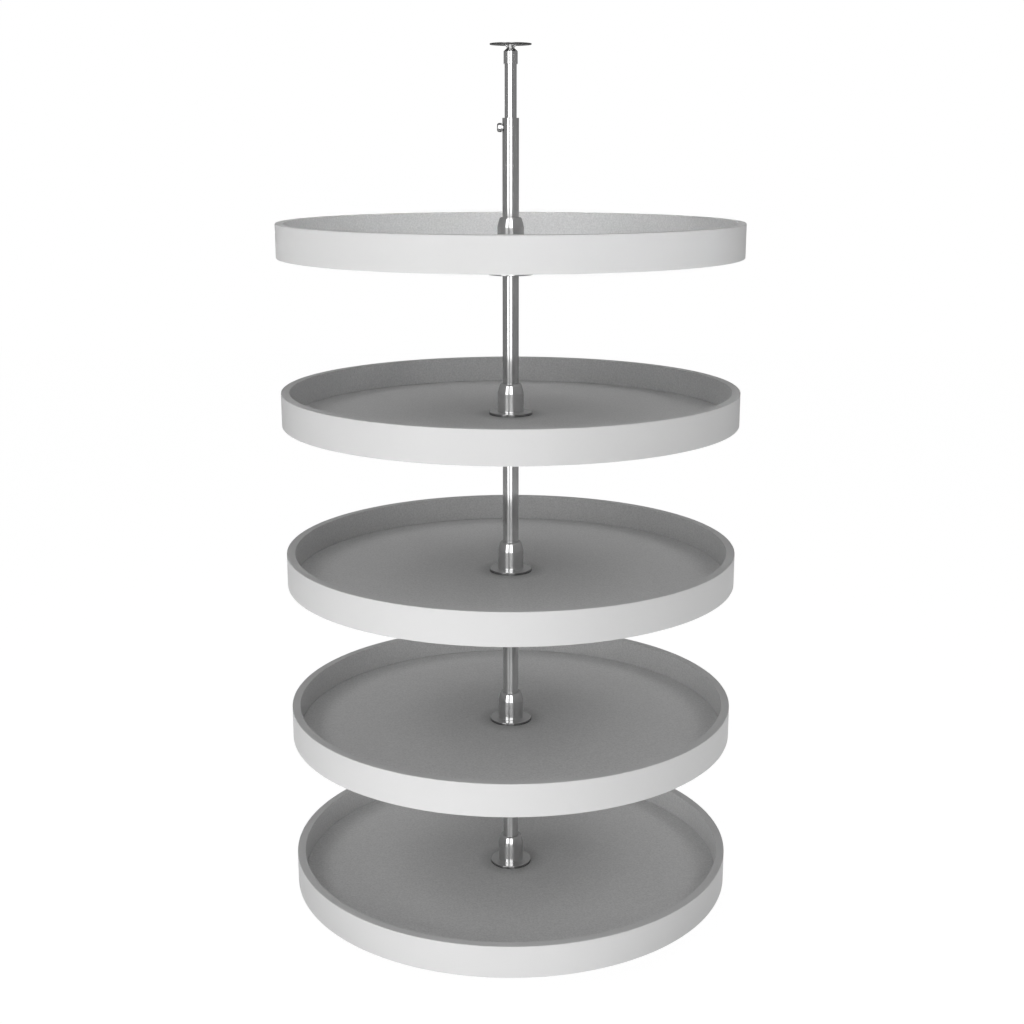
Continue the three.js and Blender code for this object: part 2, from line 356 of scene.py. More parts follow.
hub_outline = [
    (HUB_BORE, hub_low),
    (SPIGOT, hub_low),
    (SPIGOT, floor_top + NEAR),
    (flange_radius, floor_top + NEAR),
    (flange_radius, flange_top),
    (HUB_RADIUS, flange_top),
    (HUB_RADIUS, hub_top),
    (HUB_BORE, hub_top),
]
hub = ring("hub", hub_outline)
round_edges(hub, FLANGE_ROUND, [(flange_radius, flange_top)], steps=5)
round_edges(hub, HUB_FILLET, [(HUB_RADIUS, flange_top)])
round_edges(hub, SEAM, [(HUB_RADIUS, hub_top), (flange_radius, floor_top + NEAR)], steps=2)
shade(hub)
settle_on_trays(hub, "hub")

# %% [markdown]
# ## Hub cap
# The cap closes the hub round the tube. Its side leans in as a cone with a slight belly and rounds over a
# shoulder to a narrow lip. The cone touches the shoulder's circle, so its slope is the direction of that
# circle's centre, less the angle of the tangent. The belly lets the side leave the hub a little more
# upright than it ends, and a spigot below it sits in the hub's bore.

# %% Make the hub cap
TUBE_CLEARANCE = 0.15 * MM
CAP_LIP = 1.0 * MM
CAP_ROUND = 3.6 * MM
CAP_BELLY = 0.22 * MM
CONE_STEPS = 10
ROUND_STEPS = 8
CAP_EDGE = 0.3 * MM

tube_radius = 12.5 * MM
cap_low = low_of(f"tray_{LOWEST}_hub_cap")
cap_top = high_of(f"tray_{LOWEST}_hub_cap")
cap_bore = tube_radius + TUBE_CLEARANCE
cap_lip = cap_bore + CAP_LIP
cap_lean = HUB_RADIUS - cap_lip
round_centre = cap_top - CAP_ROUND
to_centre = math.hypot(cap_lean, round_centre - hub_top)
tangent = math.asin(CAP_ROUND / to_centre)
cap_slope = math.atan2(cap_lean, round_centre - hub_top) - tangent
cone_length = to_centre * math.cos(tangent)

cap_side = []
for step in range(1, CONE_STEPS):
    along = step / CONE_STEPS
    belly = CAP_BELLY * 4 * along * (1 - along)
    inwards = cone_length * along * math.sin(cap_slope) - belly * math.cos(cap_slope)
    upwards = cone_length * along * math.cos(cap_slope) + belly * math.sin(cap_slope)
    cap_side.append((HUB_RADIUS - inwards, hub_top + upwards))
for step in range(ROUND_STEPS + 1):
    angle = cap_slope + (math.pi / 2 - cap_slope) * step / ROUND_STEPS
    cap_side.append((cap_lip + CAP_ROUND * math.cos(angle), round_centre + CAP_ROUND * math.sin(angle)))

cap_outline = [
    (cap_bore, cap_low),
    (HUB_BORE - JOINT, cap_low),
    (HUB_BORE - JOINT, hub_top + NEAR),
    (HUB_RADIUS, hub_top + NEAR),
    *cap_side,
    (cap_bore, cap_top),
]
hub_cap = ring("hub_cap", cap_outline)
round_edges(hub_cap, SEAM, [(HUB_RADIUS, hub_top + NEAR)], steps=2)
round_edges(hub_cap, CAP_EDGE, [(cap_bore, cap_top)])
shade(hub_cap)
settle_on_trays(hub_cap, "hub_cap")
print("cap slope", round(math.degrees(cap_slope), 1), "degrees")

# %% [markdown]
# ## Bush and bearing housing
# Inside the hub a nylon bush turns on the tube. Below the floor a chrome cup, the bearing housing, draws
# the hub down and hides the collar that carries the tray. From the front only a sliver of the top one
# shows, but it is plain to see from below, so it gets its real wall and a rounded lower edge.

# %% Make the bush and the housing
HOUSING_WALL = 3 * MM
HOUSING_TOP = 6 * MM
HOUSING_ROUND = 1.5 * MM
SMALL_EDGE = 0.3 * MM

bush_low = low_of(f"tray_{LOWEST}_bush")
bush_high = high_of(f"tray_{LOWEST}_bush")
bush_outline = [
    (cap_bore, bush_low),
    (HUB_BORE - JOINT, bush_low),
    (HUB_BORE - JOINT, bush_high),
    (cap_bore, bush_high),
]
bush = ring("bush", bush_outline)
round_edges(bush, SMALL_EDGE, bush_outline, steps=2)
shade(bush)
settle_on_trays(bush, "bush")

housing_radius = radius_of(f"tray_{LOWEST}_bearing_housing")
housing_low = low_of(f"tray_{LOWEST}_bearing_housing")
housing_inner = housing_radius - HOUSING_WALL
housing_outline = [
    (SPIGOT + JOINT, tray_low - HOUSING_TOP),
    (housing_inner, tray_low - HOUSING_TOP),
    (housing_inner, housing_low),
    (housing_radius, housing_low),
    (housing_radius, tray_low - NEAR),
    (SPIGOT + JOINT, tray_low - NEAR),
]
housing = ring("bearing_housing", housing_outline)
round_edges(housing, HOUSING_ROUND, [(housing_radius, housing_low)], steps=5)
round_edges(housing, SMALL_EDGE, [(housing_inner, housing_low), (housing_radius, tray_low - NEAR)])
shade(housing)
settle_on_trays(housing, "bearing_housing")

# %% [markdown]
# ## Thrust washer, stop collar and collar screw
# A steel collar is fixed on the tube by a headless screw, and a nylon washer on top of it lets the tray
# turn. The screw's hole and its hexagon socket are cut with a Boolean modifier, which is the simplest way
# to cross two round shapes.

# %% Make the washer, the collar and its screw
GRIP_SCREW = 3 * MM
GRIP_SCREW_HOLE = 3.15 * MM
GRIP_SOCKET = 3 * MM / math.sqrt(3)  # from the hexagon's width to its corners' radius
GRIP_SOCKET_DEPTH = 3 * MM
COLLAR_CHAMFER = 0.8 * MM

washer_radius = radius_of(f"tray_{LOWEST}_thrust_washer")
washer_low = low_of(f"tray_{LOWEST}_thrust_washer")
washer_high = high_of(f"tray_{LOWEST}_thrust_washer")
washer_outline = [
    (cap_bore, washer_low + NEAR),
    (washer_radius, washer_low + NEAR),
    (washer_radius, washer_high),
    (cap_bore, washer_high),
]
washer = ring("thrust_washer", washer_outline)
round_edges(washer, SMALL_EDGE, washer_outline)
shade(washer)
settle_on_trays(washer, "thrust_washer")

collar_radius = radius_of(f"tray_{LOWEST}_stop_collar")
collar_low = low_of(f"tray_{LOWEST}_stop_collar")
collar_middle = (collar_low + washer_low) / 2
collar_outline = [
    (tube_radius + NEAR, collar_low),
    (collar_radius, collar_low),
    (collar_radius, washer_low),
    (tube_radius + NEAR, washer_low),
]
collar = ring("stop_collar", collar_outline)
round_edges(collar, COLLAR_CHAMFER, [(collar_radius, collar_low), (collar_radius, washer_low)], steps=2)
screw_hole_outline = [(GRIP_SCREW_HOLE, 0), (GRIP_SCREW_HOLE, 2 * collar_radius)]
screw_hole = bar("screw_hole", screw_hole_outline, SCREW_SIDES)
lay_towards_minus_x(screw_hole, collar_middle)
cut_out(collar, screw_hole)
shade(collar)
settle_on_trays(collar, "stop_collar")

screw_outer = -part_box(f"tray_{LOWEST}_collar_screw")[0][0]
screw_inner = -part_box(f"tray_{LOWEST}_collar_screw")[1][0]
grip_screw_outline = [(GRIP_SCREW, screw_inner), (GRIP_SCREW, screw_outer)]
grip_screw = bar("collar_screw", grip_screw_outline, SCREW_SIDES)
round_edges(grip_screw, SMALL_EDGE)
grip_socket_foot = screw_outer - GRIP_SOCKET_DEPTH
grip_socket_outline = [(GRIP_SOCKET, grip_socket_foot), (GRIP_SOCKET, collar_radius)]
grip_socket = bar("socket", grip_socket_outline, HEXAGON)
cut_out(grip_screw, grip_socket)
lay_towards_minus_x(grip_screw, collar_middle)
shade(grip_screw)
settle_on_trays(grip_screw, "collar_screw")

# %% [markdown]
# ## Column
# The column is a 25 mm chrome tube of fixed length. An 18 mm rod slides in its upper end, guided by a nylon
# bush and held by a clamp screw in a nut through the tube's wall. A long cylinder looks plain, so what
# sells it is the broken edge at its end, the dark gap round the rod and the finish.

# %% Make the tube, the rod and the guide bush
TUBE_WALL = 1.5 * MM
TUBE_EDGE = 0.35 * MM
GUIDE_BORE = 9.1 * MM
NUT_HOLE = 4.95 * MM
CLAMP_SHANK = 3 * MM
CLAMP_BELOW_END = 14 * MM

tube_low = low_of("outer_tube")
tube_high = high_of("outer_tube")
tube_inner = tube_radius - TUBE_WALL
clamp_level = tube_high - CLAMP_BELOW_END
tube_outline = [
    (tube_inner, tube_low),
    (tube_radius, tube_low),
    (tube_radius, tube_high),
    (tube_inner, tube_high),
]
tube = ring("larder_outer_tube", tube_outline)
round_edges(tube, TUBE_EDGE, tube_outline)
nut_hole = bar("nut_hole", [(NUT_HOLE, 0), (NUT_HOLE, 2 * tube_radius)], CLAMP_SIDES)
lay_towards_minus_x(nut_hole, clamp_level)
cut_out(tube, nut_hole)
shade(tube)
settle(tube, "outer_tube")

guide_low = low_of("guide_bush")
guide_outer = tube_inner - JOINT
guide_outline = [
    (GUIDE_BORE, guide_low),
    (guide_outer, guide_low),
    (guide_outer, tube_high),
    (GUIDE_BORE, tube_high),
]
guide = ring("larder_guide_bush", guide_outline)
round_edges(guide, SMALL_EDGE, guide_outline)
shank_hole_outline = [(CLAMP_SHANK + JOINT, 0), (CLAMP_SHANK + JOINT, 2 * tube_radius)]
shank_hole = bar("shank_hole", shank_hole_outline, SCREW_SIDES)
lay_towards_minus_x(shank_hole, clamp_level)
cut_out(guide, shank_hole)
shade(guide)
settle(guide, "guide_bush")

rod_radius = radius_of("inner_rod")
rod_low = low_of("inner_rod")
rod_high = high_of("inner_rod")
rod_inner = rod_radius - TUBE_WALL
rod_outline = [(rod_inner, rod_low), (rod_radius, rod_low), (rod_radius, rod_high), (rod_inner, rod_high)]
rod = ring("larder_inner_rod", rod_outline)
round_edges(rod, TUBE_EDGE, rod_outline)
shade(rod)
settle(rod, "inner_rod")

# %% [markdown]
# ## Clamp nut and clamp screw
# The clamp screw stands out of the tube on the left. Its head is a button: a short cylinder with a
# well-rounded outer edge and a hexagon socket. It is turned up the Z axis, where the helpers work, and laid
# down afterwards.

# %% Make the nut and the screw
HEAD_LENGTH = 7 * MM
CLAMP_ROUND = 3 * MM
CLAMP_BASE_EDGE = 0.4 * MM
CLAMP_SOCKET = 5 * MM / math.sqrt(3)
CLAMP_SOCKET_DEPTH = 3 * MM

nut_outer = -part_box("clamp_nut")[0][0]
nut_inner = -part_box("clamp_nut")[1][0]
nut_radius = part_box("clamp_nut")[1][1]
nut_bore = CLAMP_SHANK + JOINT
nut_outline = [
    (nut_bore, nut_inner),
    (nut_radius, nut_inner),
    (nut_radius, nut_outer),
    (nut_bore, nut_outer),
]
nut = ring("larder_clamp_nut", nut_outline, CLAMP_SIDES)
round_edges(nut, SMALL_EDGE, nut_outline, steps=2)
lay_towards_minus_x(nut, clamp_level)
shade(nut)
settle(nut, "clamp_nut")

screw_tip = -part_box("clamp_screw")[1][0]
head_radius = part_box("clamp_screw")[1][1]
head_high = -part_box("clamp_screw")[0][0]
head_low = head_high - HEAD_LENGTH
clamp = bar(
    "larder_clamp_screw",
    [(CLAMP_SHANK, screw_tip), (CLAMP_SHANK, head_low), (head_radius, head_low), (head_radius, head_high)],
    CLAMP_SIDES,
)
round_edges(clamp, CLAMP_ROUND, [(head_radius, head_high)], steps=8)
round_edges(clamp, CLAMP_BASE_EDGE, [(head_radius, head_low), (CLAMP_SHANK, screw_tip)])
clamp_socket_foot = head_high - CLAMP_SOCKET_DEPTH
clamp_socket_outline = [(CLAMP_SOCKET, clamp_socket_foot), (CLAMP_SOCKET, 2 * head_high)]
clamp_socket = bar("socket", clamp_socket_outline, HEXAGON)
cut_out(clamp, clamp_socket)
lay_towards_minus_x(clamp, clamp_level)
shade(clamp)
settle(clamp, "clamp_screw")

# %% [markdown]
# ## End cap, pivot and top plate
# The rod ends in a cap with a 45 degree shoulder. A pin turns in it, and above it a small cone carries the
# round plate that is screwed to the top of the unit. Cap and cone meet point to point in a sharp waist.

# %% Make the end cap and the pivot
WAIST = 5.5 * MM
CAP_SHOULDER = 4.5 * MM
PIN = 4 * MM
PIN_CLEARANCE = 0.12 * MM
PIN_POINT = 1 * MM
ROD_CLEARANCE = 0.15 * MM

shell_radius = radius_of("rod_end_cap")
shell_low = low_of("rod_end_cap")
waist_level = high_of("rod_end_cap")
shoulder = waist_level - CAP_SHOULDER
socket_radius = rod_radius + ROD_CLEARANCE
socket_high = rod_high + ROD_CLEARANCE
pin_hole = PIN + PIN_CLEARANCE
end_cap_outline = [
    (socket_radius, shell_low),
    (shell_radius, shell_low),
    (shell_radius, shoulder),
    (WAIST, waist_level),
    (pin_hole, waist_level),
    (pin_hole, socket_high),
    (socket_radius, socket_high),
]
end_cap = ring("larder_rod_end_cap", end_cap_outline)
end_cap_corners = [(shell_radius, shoulder), (shell_radius, shell_low), (socket_radius, shell_low)]
round_edges(end_cap, CAP_EDGE, end_cap_corners)
shade(end_cap)
settle(end_cap, "rod_end_cap")

cone_radius = radius_of("top_pivot")
pin_low = low_of("top_pivot")
cone_high = high_of("top_pivot")
cone_low = cone_high - (cone_radius - PIN) + (WAIST - PIN) - (CAP_SHOULDER - (cone_radius - WAIST))
pivot_outline = [
    (PIN - PIN_POINT, pin_low),
    (PIN, pin_low + PIN_POINT),
    (PIN, cone_low),
    (WAIST, cone_low),
    (cone_radius, cone_high - NEAR),
]
pivot = bar("larder_top_pivot", pivot_outline)
shade(pivot, angle=25)
settle(pivot, "top_pivot")

# %% [markdown]
# ## Screw plates
# Both plates are round discs with four countersunk holes. A cutter is turned for each hole, as a cone with
# a drill through it, moved to its place and cut out. The upper plate is sunk from below and the floor plate
# from above.

# %% Make the screw plates
PLATE_HOLES = 4
DRILL = 2.25 * MM
SINK = 4.2 * MM
SINK_LAND = 0.36 * MM  # thickness left under a countersink


def screw_plate(name, node, hole_circle, sunk_from_above, edge):
    """A disc with countersunk holes on a circle, sunk on one side."""
    radius, low, high = radius_of(node), low_of(node), high_of(node)
    plate = bar(name, [(radius, low), (radius, high)])
    round_edges(plate, edge)
    depth = min(SINK - DRILL, high - low - SINK_LAND)
    beyond = SINK
    if sunk_from_above:
        outline = [(DRILL, low - beyond), (DRILL, high - depth), (SINK, high), (SINK, high + beyond)]
    else:
        outline = [(SINK, low - beyond), (SINK, low), (DRILL, low + depth), (DRILL, high + beyond)]
    for hole in range(PLATE_HOLES):
        angle = (hole + 0.5) * math.tau / PLATE_HOLES
        cutter = bar("cutter", outline, SCREW_SIDES)
        cutter.location = (hole_circle * math.cos(angle), hole_circle * math.sin(angle), 0)
        cut_out(plate, cutter)
    shade(plate, angle=25)
    return plate


TOP_HOLES = 22 * MM
FLOOR_HOLES = 29 * MM
TOP_EDGE = 0.3 * MM
BOTTOM_EDGE = 0.8 * MM
top_plate = screw_plate("larder_top_plate", "top_plate", TOP_HOLES, False, TOP_EDGE)
settle(top_plate, "top_plate")
floor_plate = screw_plate("larder_floor_plate", "floor_plate", FLOOR_HOLES, True, BOTTOM_EDGE)
settle(floor_plate, "floor_plate")

# %% [markdown]
# ## Foot
# The column's foot is hidden behind the lowest tray from the front, but it carries everything. A pivot with
# a flange stands on the floor plate, a nylon washer lies on the flange, and a nylon plug closes the tube
# and turns on the pivot.

# %% Make the pivot, the washer and the plug
FOOT_FLANGE = 3 * MM
FOOT_PIN = 5 * MM
FOOT_EDGE = 0.5 * MM
PLUG_SHOULDER = 3 * MM

foot_low = low_of("foot_pivot")
foot_high = high_of("foot_pivot")
foot_radius = radius_of("foot_pivot")
flange_level = foot_low + FOOT_FLANGE
foot_outline = [
    (foot_radius, foot_low + NEAR),
    (foot_radius, flange_level),
    (FOOT_PIN, flange_level),
    (FOOT_PIN, foot_high),
]
foot = bar("larder_foot_pivot", foot_outline)
round_edges(foot, FOOT_EDGE, [(foot_radius, flange_level), (FOOT_PIN, foot_high)])
shade(foot)
settle(foot, "foot_pivot")

foot_washer_radius = radius_of("foot_washer")
foot_washer_high = high_of("foot_washer")
foot_bore = FOOT_PIN + PIN_CLEARANCE
foot_washer_outline = [
    (foot_bore, flange_level + NEAR),
    (foot_washer_radius, flange_level + NEAR),
    (foot_washer_radius, foot_washer_high),
    (foot_bore, foot_washer_high),
]
foot_washer = ring("larder_foot_washer", foot_washer_outline)
round_edges(foot_washer, SMALL_EDGE, foot_washer_outline)
shade(foot_washer)
settle(foot_washer, "foot_washer")

plug_low = low_of("foot_plug")
plug_high = high_of("foot_plug")
plug_radius = tube_inner - JOINT
plug_outline = [
    (foot_bore, plug_low),
    (tube_radius, plug_low),
    (tube_radius, plug_low + PLUG_SHOULDER - NEAR),
    (plug_radius, plug_low + PLUG_SHOULDER - NEAR),
    (plug_radius, plug_high),
    (foot_bore, plug_high),
]
plug = ring("larder_foot_plug", plug_outline)
round_edges(plug, SMALL_EDGE, [(tube_radius, plug_low), (plug_radius, plug_high)])
shade(plug)
settle(plug, "foot_plug")

print("settled", len(settled), "of", len(frame["nodes"]), "nodes")

# %% [markdown]
# ## Writing materials as expressions
# A material is a small calculation for each point of a surface. In the shader editor that is a web of
# nodes, and in a script it reads best as ordinary arithmetic. So one class wraps a socket: adding or
# multiplying two of them adds the Math node that does it. Any other node comes from one method, which takes
# the node's type, its settings and the values or links of its sockets.

# %% The socket class and the node method


class Wire:
    """An output socket that can be calculated with like a number."""

    def __init__(self, shading, node, output=0):
        self.shading, self.node, self.socket = shading, node, node.outputs[output]

    def output(self, name):
        """Another output of the same node."""
        return Wire(self.shading, self.node, name)

    def _calculate(self, operation, first, second):
        return self.shading.add("Math", {"operation": operation}, {0: first, 1: second})

    def __add__(self, other):
        return self._calculate("ADD", self, other)

    def __sub__(self, other):
        return self._calculate("SUBTRACT", self, other)

    def __rsub__(self, other):
        return self._calculate("SUBTRACT", other, self)

    def __mul__(self, other):
        return self._calculate("MULTIPLY", self, other)

    def __truediv__(self, other):
        return self._calculate("DIVIDE", self, other)

    def __mod__(self, other):
        return self._calculate("MODULO", self, other)

    __radd__ = __add__
    __rmul__ = __mul__

    def to_power(self, exponent):
        return self._calculate("POWER", self, exponent)

    def size(self):
        return self._calculate("ABSOLUTE", self, 0.0)

    def least(self, other):
        return self._calculate("MINIMUM", self, other)

    def most(self, other):
        return self._calculate("MAXIMUM", self, other)

    def rise(self, start, end):
        """0 below start and 1 above end, with a soft change between them."""
        settings = {"interpolation_type": "SMOOTHSTEP"}
        return self.shading.add("MapRange", settings, {"Value": self, "From Min": start, "From Max": end})


class Shading:
    """A node tree, and the one method that adds nodes to it."""

    def __init__(self, tree):
        self.tree = tree

    def add(self, kind, settings, sockets, output=0):
        node = self.tree.nodes.new(f"ShaderNode{kind}")
        for key, value in settings.items():
            setattr(node, key, value)
        for key, value in sockets.items():
            self.plug(node, key, value)
        return Wire(self, node, output) if node.outputs else node

    def plug(self, node, key, value):
        if isinstance(value, Wire):
            self.tree.links.new(value.socket, node.inputs[key])
        else:
            node.inputs[key].default_value = value


class Finish(Shading):
    """A material: its shader's plain values are set at once, and its patterns are plugged in later."""

    def __init__(self, name, **plain):
        self.material = bpy.data.materials.new(name)
        self.material.use_nodes = True
        super().__init__(self.material.node_tree)
        self.shader = self.tree.nodes["Principled BSDF"]
        self.second = None
        self.surface(**plain)

    def surface(self, **values):
        """Sets plain values or plugs patterns into the shader, and into the second one if there is one."""
        for key, value in values.items():
            for shader in filter(None, (self.shader, self.second)):
                self.plug(shader, key.replace("_", " "), value)

    def mix_in(self, share, **plain):
        """Mixes this share of a second shader into the first one."""
        self.second = self.tree.nodes.new("ShaderNodeBsdfPrincipled")
        for key, value in plain.items():
            self.second.inputs[key.replace("_", " ")].default_value = value
        mixed = self.add("MixShader", {}, {0: share, 1: Wire(self, self.shader), 2: Wire(self, self.second)})
        self.plug(self.tree.nodes["Material Output"], "Surface", mixed)

    def place(self):
        """Object coordinates, which stay with the piece when it moves."""
        return self.add("TexCoord", {}, {}, "Object")

    def parts(self, vector):
        """The X, Y and Z of a vector, and its distance from the Z axis."""
        x = self.add("SeparateXYZ", {}, {0: vector})
        y, z = x.output("Y"), x.output("Z")
        flat = self.vector(x, y, 0.0)
        return x, y, z, self.add("VectorMath", {"operation": "LENGTH"}, {0: flat}, "Value")

    def noise(self, vector, size, detail=2.0, roughness=0.5):
        """Soft noise from 0 to 1, with blotches of about this size in metres."""
        sockets = {"Vector": vector, "Scale": 1 / size, "Detail": detail, "Roughness": roughness}
        return self.add("TexNoise", {}, sockets)

    def vector(self, x, y, z):
        return self.add("CombineXYZ", {}, {0: x, 1: y, 2: z})

    def grey(self, value):
        """A neutral colour of this brightness."""
        return self.add("CombineColor", {}, {0: value, 1: value, 2: value})

    def bump(self, height, distance, strength):
        sockets = {"Height": height, "Distance": distance, "Strength": strength}
        return self.add("Bump", {}, sockets)


print("shading helpers ready")

# %% [markdown]
# ## Tray lacquer
# The trays are board with a satin, off-white lacquer. Seen closely it is not flat: the spray leaves a fine
# grain, which shows more inside a tray, the thickness varies a little over a hand's breadth, jars rub faint
# arcs into the floor, and the edges that hands touch are rubbed a shade darker and smoother. Round each hub
# the floor is painted darker in a soft ring, as painted shade that the lamps alone don't give. All trays
# share one material, so the height above a tray's underside comes from the object's height modulo the
# pitch of the trays.
#
# The arcs need the angle round the axis, but an angle jumps from 360 degrees to 0 and would leave a seam.
# The direction from the axis, as a vector of length 1, carries the same information and never jumps.

# %% Make the tray lacquer
LACQUER = 0.72
OUTSIDE_SPECKLE = 0.01
INSIDE_SPECKLE = 0.36
LACQUER_MOTTLE = 0.02
LACQUER_ROUGHNESS = 0.5
EDGE_DARKER = 0.05
SCUFF_DARKER = 0.006
GRAIN_SIZE = 2.6 * MM
GRAIN_DEPTH = 0.03 * MM
MOTTLE_SIZE = 90 * MM
HAZE_SIZE = 25 * MM
EDGE_WEAR = 1.8 * MM
WEAR_SIZE = 14 * MM
RUB_SIZE = 120 * MM
ARCS_OUTWARDS = 160  # how fast the arcs change in a metre away from the axis
ARCS_AROUND = 1.6  # and how slowly with the direction
HUB_SHADE = 0.25
HUB_SHADE_REACH = 28 * MM
UNDERLAP = 1 * MM  # the modulo jumps this far below the underside, not on it


def above_underside(z):
    """Height above the underside of the tray, the same for every tray."""
    start = tray_low - UNDERLAP
    return (z - start) % tray_pitch - UNDERLAP


lacquer = Finish("larder_tray_lacquer", IOR=1.4)
place = lacquer.place()
x_part, y_part, z_part, from_axis = lacquer.parts(place)
level = above_underside(z_part)

grain = lacquer.noise(place, GRAIN_SIZE, detail=3)
mottle = lacquer.noise(place, MOTTLE_SIZE, detail=3)
haze = lacquer.noise(place, HAZE_SIZE, detail=4)

from_top = (level - tray_height).size()
from_side = (from_axis - tray_radius).size().least((from_axis - rim_inner).size())
from_edge = (from_top.to_power(2.0) + from_side.to_power(2.0)).to_power(0.5)
at_edge = 1 - from_edge.rise(0.2 * MM, EDGE_WEAR)
worn = at_edge * lacquer.noise(place, WEAR_SIZE, detail=4).rise(0.42, 0.62)

x_around, y_around = x_part / from_axis * ARCS_AROUND, y_part / from_axis * ARCS_AROUND
arcs = lacquer.vector(from_axis * ARCS_OUTWARDS, x_around, y_around)
scuffs = lacquer.add("TexNoise", {}, {"Vector": arcs, "Scale": 1.0, "Detail": 2.0}).rise(0.6, 0.72)
floor_level = floor_top - tray_low
on_floor = 1 - level.rise(floor_level, floor_level + 1 * MM)
rubbed = scuffs * on_floor * lacquer.noise(place, RUB_SIZE).rise(0.45, 0.6)

inside = 1 - from_axis.rise(rim_inner + 0.5 * MM, rim_inner + 2 * MM)
speckle = OUTSIDE_SPECKLE + (INSIDE_SPECKLE - OUTSIDE_SPECKLE) * inside
tone = LACQUER + speckle * (grain - 0.5) + LACQUER_MOTTLE * (mottle - 0.5)
tone = tone - EDGE_DARKER * worn - SCUFF_DARKER * rubbed
# painted shade: the floor is darker in a soft ring round each hub's flange
dust_and_shade = on_floor * (1 - from_axis.rise(flange_radius - 2 * MM, flange_radius + HUB_SHADE_REACH))
tone = tone * (1 - HUB_SHADE * dust_and_shade)
lacquer.surface(
    Base_Color=lacquer.grey(tone),
    Roughness=LACQUER_ROUGHNESS + 0.12 * (haze - 0.5) + 0.1 * (grain - 0.5) - 0.1 * worn - 0.06 * rubbed,
    Normal=lacquer.bump(grain, GRAIN_DEPTH, 0.6),
)
print("lacquer", len(lacquer.tree.nodes), "nodes")

# %% [markdown]
# ## Chrome
# Polished chrome has almost no colour of its own, only that of what it reflects. It is told from a perfect
# mirror by the lines that turning and polishing leave round the piece. Most of the light is reflected
# almost sharply. The rest is spread far up and down by the lines, but hardly sideways, and draws the bright
# bands that run on where the tube mirrors the dark wall of a tray. So two shaders are mixed. Both are
# anisotropic, and the quarter turn sets their blur across the lines.
#
# Over them lie a breath of fingermarks and a few hairline scratches. The lines themselves are noise that is
# stretched along the circumference: it changes quickly with height and radius, and slowly with direction.
# Dark outlines on the low side of each flange and on the side of the clamp screw's head, and a dark plate
# at the top, are shade that the lamps don't give either, so they are painted shade: the first two are
# painted darker, and the plate's side and lower face, which are all that the camera sees of it, are painted
# a dark grey and are rougher. Its upper face is chrome. The clamp screw wasn't turned about the column's
# axis, so it has no streaks, and neither have the plate's painted faces.

# %% Make the chrome
CHROME = 0.62
CHROME_ROUGHNESS = 0.07
ACROSS_THE_LINES = 0.25  # turn of the anisotropy, in full turns
STREAK_SHARE = 0.42
STREAK_ROUGHNESS = 0.29
LINES_ACROSS = 4000  # how fast the lines change in a metre across them
LINES_ALONG = 25
HAIR_ACROSS = 900
HAIR_ALONG = 60
SMUDGE_SIZE = 22 * MM
BREATH_SIZE = 60 * MM
OUTLINE_SHADE = 0.57
CLAMP_HALF = 8 * MM  # the clamp screw lies within this of its level
PLATE_SHADE = 0.82
PLATE_BLUR = 0.4

chrome = Finish("larder_chrome", Metallic=1.0, Anisotropic=0.8, Anisotropic_Rotation=ACROSS_THE_LINES)
place = chrome.place()
x_part, y_part, z_part, from_axis = chrome.parts(place)
lines_out, lines_up = from_axis * LINES_ACROSS, z_part * LINES_ACROSS + y_part * LINES_ALONG
lines_at = chrome.vector(lines_out, x_part * LINES_ALONG, lines_up)
lines = chrome.add("TexNoise", {}, {"Vector": lines_at, "Scale": 1.0, "Detail": 3.0, "Roughness": 0.6})
smudge = chrome.noise(place, SMUDGE_SIZE, detail=4, roughness=0.6).rise(0.45, 0.75)
breath = chrome.noise(place, BREATH_SIZE, detail=2).rise(0.35, 0.8)
level = above_underside(z_part)
# painted shade: the low side of each flange's rim is painted darker
flange_side = from_axis.rise(flange_radius - 1 * MM, flange_radius - 0.4 * MM)
flange_high = floor_level + FLANGE
flange_side = flange_side * (1 - level.rise(flange_high - 0.9 * MM, flange_high - 0.2 * MM))
# painted shade: the plate's side and lower face are painted dark grey, and are rougher
plate_face = high_of("top_plate")
on_plate = z_part.rise(cone_high - 0.1 * MM, cone_high)
on_plate = on_plate * (1 - z_part.rise(plate_face - 0.35 * MM, plate_face - 0.15 * MM))
from_clamp = (z_part - clamp_level).size()
off_clamp = from_clamp.rise(CLAMP_HALF, CLAMP_HALF + 1 * MM)
on_clamp = from_axis.rise(tube_radius + 0.5 * MM, tube_radius + 1 * MM) * (1 - off_clamp)
# painted shade: the sides of the clamp screw's head are painted darker
clamp_side = on_clamp * from_clamp.rise(0.3 * head_radius, 0.5 * head_radius)
# painted shade: the dark outlines on the flanges and on the clamp screw
painted_outlines = flange_side.most(clamp_side)
scratch_at = chrome.vector(x_part * HAIR_ACROSS, y_part * HAIR_ACROSS, z_part * HAIR_ALONG)
hairline = chrome.add("TexNoise", {}, {"Vector": scratch_at, "Scale": 1.0, "Detail": 2.0}).rise(0.7, 0.78)

blur = CHROME_ROUGHNESS + 0.04 * smudge + 0.015 * breath + 0.02 * (lines - 0.5) + 0.06 * hairline
blur = blur + PLATE_BLUR * on_plate
chrome.surface(Roughness=blur)
chrome.mix_in(
    STREAK_SHARE * (1 - on_clamp.most(on_plate)),
    Metallic=1.0,
    Roughness=STREAK_ROUGHNESS,
    Anisotropic=1.0,
    Anisotropic_Rotation=ACROSS_THE_LINES,
)
bright = CHROME - 0.03 * smudge - 0.03 * hairline + 0.015 * (lines - 0.5)
